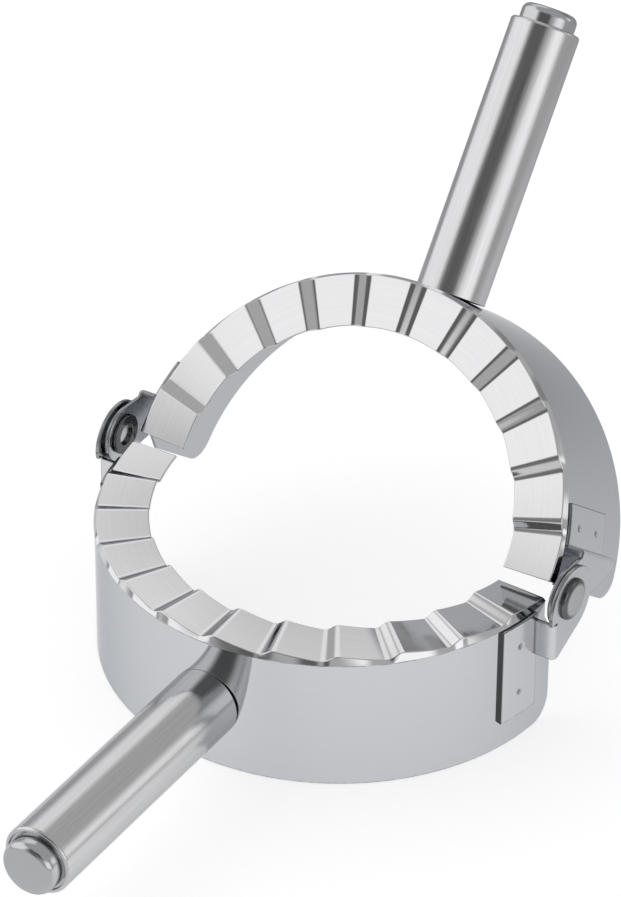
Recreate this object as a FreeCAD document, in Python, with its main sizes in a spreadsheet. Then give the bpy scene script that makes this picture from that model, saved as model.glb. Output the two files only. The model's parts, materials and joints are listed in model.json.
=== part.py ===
import FreeCAD, Part
import Sketcher
import math
import os

from FreeCAD import Placement, Rotation, Vector

doc = FreeCAD.newDocument("ravioli_mold")

# Driving sizes in millimetres, degrees and plain counts, one spreadsheet cell each
SIZES = {
    # half-ring wall
    "ring_radius": 60.0,
    "band_wall": 0.8,
    "band_height": 35.6,
    "band_long_end": 1.0,
    "band_short_end": 1.5,
    "band_corner_radius": 6.0,
    "band_relief_depth": 9.6,
    "band_relief_straight": 4.6,
    # wavy rim on top of the wall
    "rim_width": 13.5,
    "rim_end_gap": 2.0,
    "rim_overhang": 0.2,
    "rim_sheet": 0.6,
    "rim_lip_run": 0.8,
    "wave_height": 1.7,
    "waves_on_half": 12,
    "steep_share": 0.19,
    # hinge: the rest angle is how far the rear half is lifted from flat
    "rest_angle": 51.7,
    "closed_clearance": 0.6,
    "bracket_sheet": 1.0,
    "bracket_top_gap": 0.3,
    "bend_radius": 0.9,
    "bend_run": 2.0,
    "weld_ball_radius": 1.6,
    "weld_depth": 0.35,
    # front bracket, with the outer ear
    "front_strip_near": 6.6,
    "front_strip_far": 18.4,
    "front_strip_height": 27.5,
    "front_web_drop": 1.8,
    "front_web_height": 10.2,
    "front_ear_radius": 9.4,
    "front_ear_lead": 0.4,
    "front_ear_drop": 1.45,
    "front_ear_slit": 0.5,
    # rear bracket, with the inner ear
    "rear_strip_near": 11.0,
    "rear_strip_far": 21.5,
    "rear_strip_height": 22.3,
    "rear_web_drop": 0.0,
    "rear_web_height": 21.3,
    "rear_ear_radius": 7.3,
    "rear_ear_standoff": 3.4,
    # hinge rivet and washer
    "rivet_shank_radius": 3.6,
    "rivet_head_radius": 5.3,
    "rivet_head_edge": 0.9,
    "rivet_head_height": 1.6,
    "rivet_bore_radius": 2.7,
    "rivet_bore_floor": 0.6,
    "rivet_curl_radius": 5.2,
    "rivet_curl_thickness": 0.8,
    "rivet_curl_round": 0.3,
    "washer_radius": 5.6,
    "washer_thickness": 0.5,
    # handle
    "tube_radius": 9.0,
    "tube_wall": 1.0,
    "tube_length": 71.1,
    "tube_edge_round": 0.8,
    "cap_radius": 7.2,
    "cap_height": 4.4,
    "cap_crown_round": 2.0,
    "cap_spigot_length": 8.0,
    "cap_recess": 0.5,
    "insert_length": 12.0,
    "screw_radius": 2.5,
    "screw_reach": 9.0,
    "screw_head_radius": 4.5,
    "screw_head_height": 2.2,
    "screw_head_round": 0.8,
    "screw_socket_radius": 1.7,
    "screw_socket_depth": 1.4,
    # clearances
    "running_clearance": 0.05,
    "press_clearance": 0.02,
    "hole_clearance": 0.2,
    "side_clearance": 0.1,
    # how far a cut runs past the piece, and how near an edge must be to count as the one looked for
    "overrun": 2.0,
    "match_distance": 0.01,
}
# Spot welds: places up the strip, as shares of its height
WELD_HEIGHT_SHARES = (0.25, 0.75)
MIDDLE_SHARE = 0.5
# Sections of the rim between two steep steps of the wave
SLOPE_SECTIONS = 5
SOCKET_FLATS = 6
FULL_TURN = 360.0
HALF_TURN = 180.0
ALONG_X = Vector(1, 0, 0)
ALONG_Y = Vector(0, 1, 0)
ALONG_Z = Vector(0, 0, 1)

sheet = doc.addObject("Spreadsheet::Sheet", "Sizes")
for row, (alias, number) in enumerate(SIZES.items(), start=1):
    sheet.set("A%d" % row, alias)
    sheet.set("B%d" % row, str(number))
    sheet.setAlias("B%d" % row, alias)
doc.recompute()


class Size:
    """A size worked out from the sheet: its number now, and the expression that keeps it bound."""

    def __init__(self, number, text):
        self.number = number
        self.text = text

    def __add__(self, other):
        return Size(self.number + other.number, "(%s + %s)" % (self.text, other.text))

    def __sub__(self, other):
        return Size(self.number - other.number, "(%s - %s)" % (self.text, other.text))

    def __mul__(self, share):
        return Size(self.number * share, "(%s * %r)" % (self.text, share))

    def __neg__(self):
        return Size(-self.number, "(-%s)" % self.text)


def size(alias):
    return Size(float(getattr(sheet, alias)), "Sizes." + alias)


def leg(hypotenuse, side):
    """The other leg of a right triangle."""
    number = math.sqrt(hypotenuse.number ** 2 - side.number ** 2)
    return Size(number, "sqrt(%s ^ 2 - %s ^ 2)" % (hypotenuse.text, side.text))


ZERO = Size(0.0, "0")

ring_radius = size("ring_radius")
band_height = size("band_height")
band_inside = ring_radius - size("band_wall")
bracket_sheet = size("bracket_sheet")
bracket_top = band_height - size("bracket_top_gap")

# The hinge axis runs along X, half the closed clearance above the middle of the waves
rim_stack = size("wave_height") + size("closed_clearance")
hinge_height = band_height + size("rim_sheet") + rim_stack * MIDDLE_SHARE

# Hinge stack outwards along X: rear ear, washer, front ear
rear_ear_inside = ring_radius + size("rear_ear_standoff")
rear_ear_outside = rear_ear_inside + bracket_sheet
front_ear_inside = rear_ear_outside + size("side_clearance") + size("washer_thickness")
front_ear_outside = front_ear_inside + bracket_sheet

handle_height = band_height * MIDDLE_SHARE
tube_inside = size("tube_radius") - size("tube_wall")


def origin_shift():
    """How far the ring's centre lies behind the middle of the resting object's length."""
    turn = math.radians(size("rest_angle").number)
    crown = size("cap_crown_round").number
    front_reach = (ring_radius + size("tube_length") + size("cap_height")).number
    along = front_reach - crown
    below = (hinge_height - handle_height + size("cap_radius")).number - crown
    rear_reach = along * math.cos(turn) + below * math.sin(turn) + crown
    return (front_reach - rear_reach) * MIDDLE_SHARE


# Every piece is modelled in a half ring that lies on the -Y side, and then put in its place
shift = Placement(Vector(0, origin_shift(), 0), Rotation())
hinge = Placement(Vector(0, 0, hinge_height.number), Rotation())
lift = Placement(Vector(), Rotation(ALONG_X, size("rest_angle").number))
about_face = Placement(Vector(), Rotation(ALONG_Z, HALF_TURN))
HALVES = {
    "front": shift,
    "rear": shift * hinge * lift * hinge.inverse() * about_face,
}
handle_foot = Vector(0, -ring_radius.number, handle_height.number)
at_handle = Placement(handle_foot, Rotation(ALONG_Z, HALF_TURN))

pieces = []


def new_body(label, placement):
    body = doc.addObject("PartDesign::Body", label)
    body.Label = label
    body.Placement = placement
    pieces.append(body)
    return body


def new_sketch(body, role, name, height=None):
    """A sketch on one of the body's own origin planes, moved along the plane's normal by height."""
    sketch = body.newObject("Sketcher::SketchObject", body.Label + "_" + name)
    plane = [feature for feature in body.Origin.OriginFeatures if feature.Role == role][0]
    sketch.AttachmentSupport = [(plane, "")]
    sketch.MapMode = "FlatFace"
    if height:
        sketch.setExpression("AttachmentOffset.Base.z", height.text)
    return sketch


def pin(sketch, element, end, across, up):
    """Fix a point of the sketch by its distances from the sketch's origin."""
    for kind, distance, axis in (("DistanceX", across, -2), ("DistanceY", up, -1)):
        if distance is ZERO:
            sketch.addConstraint(Sketcher.Constraint("PointOnObject", element, end, axis))
        elif distance:
            number = sketch.addConstraint(Sketcher.Constraint(kind, -1, 1, element, end, distance.number))
            sketch.setExpression("Constraints[%d]" % number, distance.text)


def join(sketch, first, first_end, second, second_end):
    sketch.addConstraint(Sketcher.Constraint("Coincident", first, first_end, second, second_end))


def add_line(sketch, start, end):
    return sketch.addGeometry(Part.LineSegment(Vector(*start), Vector(*end)))


def add_chain(sketch, corners):
    """Straight lines through corners that are each fixed by two sizes."""
    points = [(across.number, up.number, 0) for across, up in corners]
    lines = [add_line(sketch, points[i], points[i + 1]) for i in range(len(points) - 1)]
    for i in range(len(lines) - 1):
        join(sketch, lines[i], 2, lines[i + 1], 1)
    pin(sketch, lines[0], 1, *corners[0])
    for line, corner in zip(lines, corners[1:]):
        pin(sketch, line, 2, *corner)
    return lines


def add_polygon(sketch, corners):
    lines = add_chain(sketch, corners)
    last, first = [(across.number, up.number, 0) for across, up in (corners[-1], corners[0])]
    closing = add_line(sketch, last, first)
    join(sketch, lines[-1], 2, closing, 1)
    join(sketch, closing, 2, lines[0], 1)


def add_arc(sketch, centre, radius, start_turn, end_turn):
    circle = Part.Circle(Vector(*centre), ALONG_Z, radius)
    return sketch.addGeometry(Part.ArcOfCircle(circle, start_turn, end_turn))


def bind_radius(sketch, element, radius):
    number = sketch.addConstraint(Sketcher.Constraint("Radius", element, radius.number))
    sketch.setExpression("Constraints[%d]" % number, radius.text)


def add_circle(sketch, across, up, radius):
    centre = Vector(across.number, up.number, 0)
    element = sketch.addGeometry(Part.Circle(centre, ALONG_Z, radius.number))
    pin(sketch, element, 3, across, up)
    bind_radius(sketch, element, radius)


def add_ring_sector(sketch, inside, outside, start_y, end_y, from_left):
    """A strip of a ring about the sketch's origin, from one height on the sketch to another."""
    arcs = []
    for radius in (outside, inside):
        start = math.asin(start_y.number / radius.number)
        end = math.asin(end_y.number / radius.number)
        if from_left:
            start = -math.pi - start
        arcs.append(add_arc(sketch, (0, 0, 0), radius.number, start, end))
        join(sketch, arcs[-1], 3, -1, 1)
        bind_radius(sketch, arcs[-1], radius)
    outer, inner = [sketch.Geometry[arc] for arc in arcs]
    for end, height in ((1, start_y), (2, end_y)):
        first = outer.StartPoint if end == 1 else outer.EndPoint
        second = inner.StartPoint if end == 1 else inner.EndPoint
        edge = add_line(sketch, tuple(first), tuple(second))
        join(sketch, arcs[0], end, edge, 1)
        join(sketch, arcs[1], end, edge, 2)
        sketch.addConstraint(Sketcher.Constraint("Horizontal", edge))
        pin(sketch, edge, 1, None, height)


def pad(body, sketch, length):
    feature = body.newObject("PartDesign::Pad", sketch.Label + "_pad")
    feature.Profile = sketch
    feature.setExpression("Length", length.text)
    doc.recompute()
    return feature


def pocket(body, sketch, reach, sides):
    """Cut as far as reach on both sides of the sketch, in front of it or behind it."""
    before = body.Shape.Volume
    feature = body.newObject("PartDesign::Pocket", sketch.Label + "_pocket")
    feature.Profile = sketch
    feature.SideType = "Symmetric" if sides == "both" else "One side"
    feature.Reversed = sides == "front"
    feature.setExpression("Length", (reach + reach if sides == "both" else reach).text)
    doc.recompute()
    if not body.Shape.Volume < before:
        raise RuntimeError(sketch.Label + " cuts nothing")


def revolve(body, sketch, axis):
    feature = body.newObject("PartDesign::Revolution", sketch.Label + "_turned")
    feature.Profile = sketch
    feature.ReferenceAxis = (sketch, [axis])
    feature.Angle = FULL_TURN
    doc.recompute()


def round_edges(body, name, radius, chosen):
    """Fillet the edges of the body's last feature for which chosen(edge) holds, in the body's own frame."""
    base = body.Tip
    names = ["Edge%d" % (i + 1) for i, edge in enumerate(base.Shape.Edges) if chosen(edge)]
    if not names:
        raise RuntimeError(body.Label + " has no edge for " + name)
    feature = body.newObject("PartDesign::Fillet", body.Label + "_" + name)
    feature.Base = (base, names)
    feature.setExpression("Radius", radius.text)
    doc.recompute()


def close_to(first, second):
    return math.isclose(first, second, abs_tol=size("match_distance").number)


def on_circle(edge, axis, radius, place):
    """Whether an edge is a full circle of this radius about the axis, at this place along it."""
    point = edge.Vertexes[0].Point
    along = point.dot(axis)
    out = (point - axis * along).Length
    return edge.isClosed() and close_to(along, place.number) and close_to(out, radius.number)


def round_band_end(body, name, end, sides):
    """Round the lower corner of the wall's end on one side of the body."""
    corner = size("band_corner_radius")
    overrun = size("overrun")
    inner_end = end - corner
    past_end = end + overrun
    corners = [
        (inner_end, ZERO),
        (inner_end, -overrun),
        (past_end, -overrun),
        (past_end, corner),
        (end, corner),
    ]
    rounding = new_sketch(body, "YZ_Plane", name)
    chain = add_chain(rounding, corners)
    centre = (inner_end.number, corner.number, 0)
    arc = add_arc(rounding, centre, corner.number, -math.pi / 2, 0)
    join(rounding, arc, 1, chain[0], 1)
    join(rounding, arc, 2, chain[-1], 2)
    bind_radius(rounding, arc, corner)
    pocket(body, rounding, ring_radius + overrun, sides)


def make_band(half):
    """Half-ring wall with rounded lower end corners and a hole for the handle screw.

    Its +X end laps past the hinge axis and is cut back at the top, to the end of the rim.
    """
    body = new_body(half + "_band", HALVES[half])
    outline = new_sketch(body, "XY_Plane", "outline")
    long_end, short_end = size("band_long_end"), -size("band_short_end")
    add_ring_sector(outline, band_inside, ring_radius, short_end, long_end, True)
    pad(body, outline, band_height)
    round_band_end(body, "long_rounding", long_end, "front")
    round_band_end(body, "short_rounding", short_end, "behind")

    overrun = size("overrun")
    past_end, past_top = long_end + overrun, band_height + overrun
    cut_low = band_height - size("band_relief_depth")
    cut_high = band_height - size("band_relief_straight")
    cut_end = -size("rim_end_gap")
    corners = [
        (long_end, cut_low),
        (cut_end, cut_high),
        (cut_end, past_top),
        (past_end, past_top),
        (past_end, cut_low),
    ]
    relief = new_sketch(body, "YZ_Plane", "relief")
    add_polygon(relief, corners)
    pocket(body, relief, ring_radius + overrun, "front")

    hole = new_sketch(body, "XZ_Plane", "screw_hole")
    add_circle(hole, ZERO, handle_height, size("screw_radius") + size("hole_clearance"))
    pocket(body, hole, ring_radius + overrun, "both")


def wave_share(turn_share):
    """Height of the rim wave, 0 in the trough to 1 on the crest.

    It is measured a share of a wave on from the middle of the steep step.
    """
    half_steep = size("steep_share").number * MIDDLE_SHARE
    if turn_share <= half_steep:
        return MIDDLE_SHARE * (1 + turn_share / half_steep)
    if turn_share >= 1 - half_steep:
        return MIDDLE_SHARE * (1 - (1 - turn_share) / half_steep)
    return (1 - half_steep - turn_share) / (1 - 2 * half_steep)


def rim_section(turn, share):
    """Section of the rim at a turn about Z: a flat sheet with a lip down to the top of the wall."""
    foot = band_height.number
    top = foot + size("rim_sheet").number + share * size("wave_height").number
    under = top - size("rim_sheet").number
    edge = (ring_radius + size("rim_overhang")).number
    lip = edge - size("rim_lip_run").number
    sheet_wide = size("rim_sheet").number
    inner = (ring_radius - size("rim_width")).number
    outline = [
        (edge, foot),
        (lip, top),
        (inner, top),
        (inner, under),
        (lip - sheet_wide, under),
        (edge - sheet_wide, foot),
    ]
    points = [Vector(r * math.cos(turn), r * math.sin(turn), z) for r, z in outline]
    return Part.makePolygon(points + points[:1])


def make_rim(half):
    """Wavy rim: the same saw-tooth wave goes on all round, so the turned half meshes with the other."""
    waves = int(size("waves_on_half").number)
    half_steep = size("steep_share").number * MIDDLE_SHARE
    slope = 1 - 2 * half_steep
    shares = [half_steep + slope * step / SLOPE_SECTIONS for step in range(SLOPE_SECTIONS + 1)]
    places = [wave + share for wave in range(waves) for share in shares]
    reach = (ring_radius + size("rim_overhang")).number
    end_place = math.asin(size("rim_end_gap").number / reach) * waves / math.pi
    inside = [place for place in places if end_place < place < waves - end_place]
    places = [end_place] + inside + [waves - end_place]
    sections = [rim_section(math.pi * (1 + place / waves), wave_share(place % 1)) for place in places]
    rim = doc.addObject("Part::Feature", half + "_crimp_rim")
    rim.Label = half + "_crimp_rim"
    rim.Shape = Part.makeLoft(sections, True, True)
    rim.Placement = HALVES[half]
    pieces.append(rim)


def tangent_turn(corner, centre, radius, lower):
    """Direction, about the ear's middle, of the point where a line from the corner touches its round."""
    across, up = (corner[0] - centre[0]).number, (corner[1] - centre[1]).number
    spread = math.acos(radius.number / math.hypot(across, up))
    return math.atan2(up, across) % (2 * math.pi) + (spread if lower else -spread)


def add_ear(sketch, near, web_bottom, web_top, centre, radius, hole_radius, lobed):
    """Ear outline: a round joined to the edge where the sheet is bent, with the hole on the hinge axis.

    The round of a lobed ear runs on past the bend, down to a slit over the top of the web.
    """
    fold = near + bracket_sheet
    flat = fold - size("bend_run")
    lower = (-flat, web_bottom)
    if lobed:
        upper = (-near, web_top + size("front_ear_slit"))
        start_turn = math.pi + math.asin((centre[1] - upper[1]).number / radius.number)
        corners = [upper, (-near, web_top), (-fold, web_top), (-fold, web_bottom), lower]
    else:
        upper = (-flat, web_top)
        start_turn = tangent_turn(upper, centre, radius, False)
        corners = [upper, (-fold, web_top), (-fold, web_bottom), lower]
    end_turn = tangent_turn(lower, centre, radius, True)
    middle = (centre[0].number, centre[1].number, 0)
    arc = add_arc(sketch, middle, radius.number, end_turn - 2 * math.pi, start_turn)
    pin(sketch, arc, 3, *centre)
    bind_radius(sketch, arc, radius)
    chain = add_chain(sketch, corners)
    low_end = sketch.Geometry[arc].StartPoint
    high_end = sketch.Geometry[arc].EndPoint
    low_line = add_line(sketch, (lower[0].number, lower[1].number, 0), tuple(low_end))
    high_line = add_line(sketch, tuple(high_end), (upper[0].number, upper[1].number, 0))
    join(sketch, chain[-1], 2, low_line, 1)
    join(sketch, high_line, 2, chain[0], 1)
    sketch.addConstraint(Sketcher.Constraint("Tangent", low_line, 2, arc, 1))
    if lobed:
        join(sketch, arc, 2, high_line, 1)
        sketch.addConstraint(Sketcher.Constraint("Horizontal", high_line))
    else:
        sketch.addConstraint(Sketcher.Constraint("Tangent", arc, 2, high_line, 1))
    add_circle(sketch, ZERO, hinge_height, hole_radius)


def make_bracket(half):
    """Hinge plate on the half's +X side: a strip on the wall, a web bent outwards and a flat ear."""
    front = half == "front"
    near, far = size(half + "_strip_near"), size(half + "_strip_far")
    web_top = bracket_top - size(half + "_web_drop")
    web_bottom = web_top - size(half + "_web_height")
    ear_inside = front_ear_inside if front else rear_ear_inside
    ear_outside = ear_inside + bracket_sheet
    hole_fit = size("press_clearance") if front else size("running_clearance")
    hole_radius = size("rivet_shank_radius") + hole_fit
    strip_outside = ring_radius + bracket_sheet
    fold = near + bracket_sheet

    # The rear half is turned about, so its +X side becomes the object's left side
    body = new_body(half + ("_bracket_right" if front else "_bracket_left"), HALVES[half])
    strip_height = size(half + "_strip_height")
    strip_bottom = bracket_top - strip_height
    strip = new_sketch(body, "XY_Plane", "strip", strip_bottom)
    add_ring_sector(strip, ring_radius, strip_outside, -far, -near, False)
    pad(body, strip, strip_height)
    web = new_sketch(body, "XY_Plane", "web", web_bottom)
    root = leg(ring_radius, near)
    add_polygon(web, [(root, -fold), (ear_outside, -fold), (ear_outside, -near), (root, -near)])
    pad(body, web, size(half + "_web_height"))
    ear = new_sketch(body, "YZ_Plane", "ear", ear_inside)
    centre = (ZERO, hinge_height)
    if front:
        centre = (size("front_ear_lead"), hinge_height - size("front_ear_drop"))
    add_ear(ear, near, web_bottom, web_top, centre, size(half + "_ear_radius"), hole_radius, front)
    pad(body, ear, bracket_sheet)

    def is_bend(edge):
        ends = [vertex.Point for vertex in edge.Vertexes]
        upright = not close_to(ends[0].z, ends[-1].z)
        return upright and all(close_to(end.y, -fold.number) for end in ends)

    round_edges(body, "bends", size("bend_radius"), is_bend)
    across = near + (far - near) * MIDDLE_SHARE
    turn = -math.asin(across.number / strip_outside.number)
    reach = (strip_outside + size("weld_ball_radius") - size("weld_depth")).number
    weld_place = Vector(reach * math.cos(turn), reach * math.sin(turn), 0)
    for share in WELD_HEIGHT_SHARES:
        height = (strip_bottom + strip_height * share).number
        dimple = body.newObject("PartDesign::SubtractiveSphere", body.Label + "_weld")
        dimple.setExpression("Radius", size("weld_ball_radius").text)
        dimple.Placement = Placement(weld_place + ALONG_Z * height, Rotation())
    doc.recompute()
    return body


def mirror_piece(source, label):
    """The same piece on the other side of the object."""
    twin = doc.addObject("Part::Mirroring", label)
    twin.Label = label
    twin.Source = source
    twin.Normal = ALONG_X
    pieces.append(twin)
    doc.recompute()


def make_tube(half):
    """Handle tube along the body's own Y, its flat end at the wall and its outer edge rounded."""
    body = new_body(half + "_handle_tube", HALVES[half] * at_handle)
    wall = new_sketch(body, "XY_Plane", "wall")
    radius, length = size("tube_radius"), size("tube_length")
    add_polygon(wall, [(tube_inside, ZERO), (radius, ZERO), (radius, length), (tube_inside, length)])
    revolve(body, wall, "V_Axis")
    round_edges(body, "edge", size("tube_edge_round"), lambda edge: on_circle(edge, ALONG_Y, radius, length))


def make_cap(half):
    """Button that closes the tube: a spigot inside it and a crowned button outside."""
    body = new_body(half + "_handle_cap", HALVES[half] * at_handle)
    profile = new_sketch(body, "XY_Plane", "profile")
    spigot, button = tube_inside - size("press_clearance"), size("cap_radius")
    seat = size("tube_length") - size("cap_recess")
    foot = seat - size("cap_spigot_length")
    top = size("tube_length") + size("cap_height")
    corners = [(ZERO, foot), (spigot, foot), (spigot, seat), (button, seat), (button, top), (ZERO, top)]
    add_polygon(profile, corners)
    revolve(body, profile, "V_Axis")
    round_edges(body, "crown", size("cap_crown_round"), lambda edge: on_circle(edge, ALONG_Y, button, top))


def make_insert(half):
    """Threaded plug in the wall end of the tube."""
    body = new_body(half + "_handle_insert", HALVES[half] * at_handle)
    profile = new_sketch(body, "XY_Plane", "profile")
    bore = size("screw_radius") + size("running_clearance")
    outside, length = tube_inside - size("press_clearance"), size("insert_length")
    add_polygon(profile, [(bore, ZERO), (outside, ZERO), (outside, length), (bore, length)])
    revolve(body, profile, "V_Axis")


def make_screw(half):
    """Screw from inside the wall into the insert; the rim of its flat seat touches the hollow wall."""
    body = new_body(half + "_handle_screw", HALVES[half] * at_handle)
    profile = new_sketch(body, "XY_Plane", "profile")
    head, shank = size("screw_head_radius"), size("screw_radius")
    seat = leg(band_inside, head) - ring_radius
    top = seat - size("screw_head_height")
    tip = size("screw_reach")
    corners = [(ZERO, top), (head, top), (head, seat), (shank, seat), (shank, tip), (ZERO, tip)]
    add_polygon(profile, corners)
    revolve(body, profile, "V_Axis")
    round_edges(body, "head", size("screw_head_round"), lambda edge: on_circle(edge, ALONG_Y, head, top))
    socket = new_sketch(body, "XZ_Plane", "socket", -top)
    reach = size("screw_socket_radius")
    turns = [2 * math.pi * (flat + MIDDLE_SHARE) / SOCKET_FLATS for flat in range(SOCKET_FLATS)]
    add_polygon(socket, [(reach * math.cos(turn), reach * math.sin(turn)) for turn in turns])
    pocket(body, socket, size("screw_socket_depth"), "both")


def make_rivet():
    """Hinge rivet along X: domed head outside, shank through both ears, rolled tubular end inside."""
    body = new_body("hinge_rivet_right", shift * hinge)
    profile = new_sketch(body, "XY_Plane", "profile")
    curl_out = rear_ear_inside - size("side_clearance")
    curl_in = curl_out - size("rivet_curl_thickness")
    seat = front_ear_outside
    edge = seat + size("rivet_head_edge")
    top = seat + size("rivet_head_height")
    floor = seat + size("rivet_bore_floor")
    bore, shank = size("rivet_bore_radius"), size("rivet_shank_radius")
    curl, head = size("rivet_curl_radius"), size("rivet_head_radius")
    corners = [
        (top, ZERO),
        (floor, ZERO),
        (floor, bore),
        (curl_in, bore),
        (curl_in, curl),
        (curl_out, curl),
        (curl_out, shank),
        (seat, shank),
        (seat, head),
        (edge, head),
    ]
    chain = add_chain(profile, corners)
    # The dome is an arc whose centre lies on the axis
    rise = (top - edge).number
    dome_radius = (head.number ** 2 + rise ** 2) / (2 * rise)
    centre = (top.number - dome_radius, 0, 0)
    dome = add_arc(profile, centre, dome_radius, 0, math.asin(head.number / dome_radius))
    join(profile, dome, 1, chain[0], 1)
    join(profile, dome, 2, chain[-1], 2)
    profile.addConstraint(Sketcher.Constraint("PointOnObject", dome, 3, -1))
    revolve(body, profile, "H_Axis")

    def is_curl(line):
        return on_circle(line, ALONG_X, curl, curl_in) or on_circle(line, ALONG_X, bore, curl_in)

    round_edges(body, "curl", size("rivet_curl_round"), is_curl)
    return body


def make_washer():
    """Thin ring on the shank, against the front ear."""
    body = new_body("hinge_washer_right", shift * hinge)
    profile = new_sketch(body, "XY_Plane", "profile")
    inner = rear_ear_outside + size("side_clearance")
    outer = front_ear_inside
    bore, outside = size("rivet_shank_radius") + size("running_clearance"), size("washer_radius")
    add_polygon(profile, [(inner, bore), (outer, bore), (outer, outside), (inner, outside)])
    revolve(body, profile, "H_Axis")
    return body


for half_name in HALVES:
    make_band(half_name)
    make_rim(half_name)
    make_tube(half_name)
    make_cap(half_name)
    make_insert(half_name)
    make_screw(half_name)

mirror_piece(make_bracket("front"), "front_bracket_left")
mirror_piece(make_bracket("rear"), "rear_bracket_right")
mirror_piece(make_rivet(), "hinge_rivet_left")
mirror_piece(make_washer(), "hinge_washer_left")
doc.recompute()

# Nothing is written unless every object was made and every piece is one sound solid
for item in doc.Objects:
    if "Invalid" in item.State or "Error" in item.State:
        raise RuntimeError(item.Label + " failed: " + str(item.State))
for piece in pieces:
    if piece.Shape.isNull() or not piece.Shape.isValid() or len(piece.Shape.Solids) != 1:
        raise RuntimeError(piece.Label + " is not one sound solid")

os.makedirs("parts", exist_ok=True)
for piece in pieces:
    piece.Shape.exportStep("parts/%s.step" % piece.Label)
    print("%-24s volume %8.1f mm3" % (piece.Label, piece.Shape.Volume))
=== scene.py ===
# %% [markdown]
# # A hinged ravioli mold in polished steel
# Two half rings of bright sheet steel, each with a wavy crimping rim and a tube handle, are riveted together at
# two ears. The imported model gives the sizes, the hinge and the bodies. This lesson builds the smooth, rounded
# surfaces over it, because polished metal shows every facet, and then gives each one its finish.

import json
import math

import bmesh
import bpy
import numpy as np
from mathutils import Matrix


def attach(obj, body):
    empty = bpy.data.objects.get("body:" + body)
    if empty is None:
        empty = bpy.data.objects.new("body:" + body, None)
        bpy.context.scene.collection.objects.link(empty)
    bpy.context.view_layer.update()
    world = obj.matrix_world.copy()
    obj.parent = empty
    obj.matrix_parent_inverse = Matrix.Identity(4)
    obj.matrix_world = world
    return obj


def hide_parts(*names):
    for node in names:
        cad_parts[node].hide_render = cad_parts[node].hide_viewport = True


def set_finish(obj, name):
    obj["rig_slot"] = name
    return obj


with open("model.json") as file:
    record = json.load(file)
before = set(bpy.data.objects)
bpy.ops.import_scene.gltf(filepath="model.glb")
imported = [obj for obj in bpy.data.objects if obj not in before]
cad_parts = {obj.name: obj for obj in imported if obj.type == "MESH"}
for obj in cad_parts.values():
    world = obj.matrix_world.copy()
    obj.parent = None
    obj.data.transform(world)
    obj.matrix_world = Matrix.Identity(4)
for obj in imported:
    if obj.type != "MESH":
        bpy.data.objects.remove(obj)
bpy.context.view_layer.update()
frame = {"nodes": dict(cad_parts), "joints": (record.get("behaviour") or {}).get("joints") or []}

# %% [markdown]
# ## Where the two halves are
# Both halves are the same pressing. One lies on the table, and the other is turned half a turn and lifted about
# the rivets. So every piece is drawn once, as part of a half ring on the -Y side of the ring's centre, in
# millimetres, and then put in its place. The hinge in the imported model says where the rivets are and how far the
# rear half is lifted.

# %% Put a half in its place
MM = 0.001
joint = frame["joints"][0]
hinge = np.array(joint["pos_m"])
lift = -math.radians(joint["range_deg"][0])
HALVES = {"front": "front_half", "rear": "rear_half"}


def to_half(points, half):
    """Points of a half ring in mm, moved to where that half is, in metres.

    The rear half is (-x, -y, z), then turned by the lift angle about the hinge line, which runs along X.
    """
    p = np.asarray(points, float) * MM
    if half == "rear":
        y, up = -p[..., 1], p[..., 2] - hinge[2]
        c, s = math.cos(lift), math.sin(lift)
        p = np.stack([-p[..., 0], y * c - up * s, y * s + up * c + hinge[2]], -1)
    return p + (0, hinge[1], 0)


print("hinge line at", hinge.round(5), "lift", round(math.degrees(lift), 1), "degrees")

# %% [markdown]
# ## From a grid of points to a closed shell
# Each piece is a grid of points that numpy works out at once. Where a grid meets itself, at the seam of a tube or
# the middle of a button, the points coincide and are joined, so the shell has no slit. Corners sharper than
# 40 degrees stay sharp, and everything else is shaded smooth. A number at each point says how much painted shade
# it gets, a near-black colour that draws the dark lines of shade along edges and ends and in dents.

# %% Make one piece
JOIN_WITHIN, SHARP_FROM = 1e-6, math.radians(40)


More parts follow.
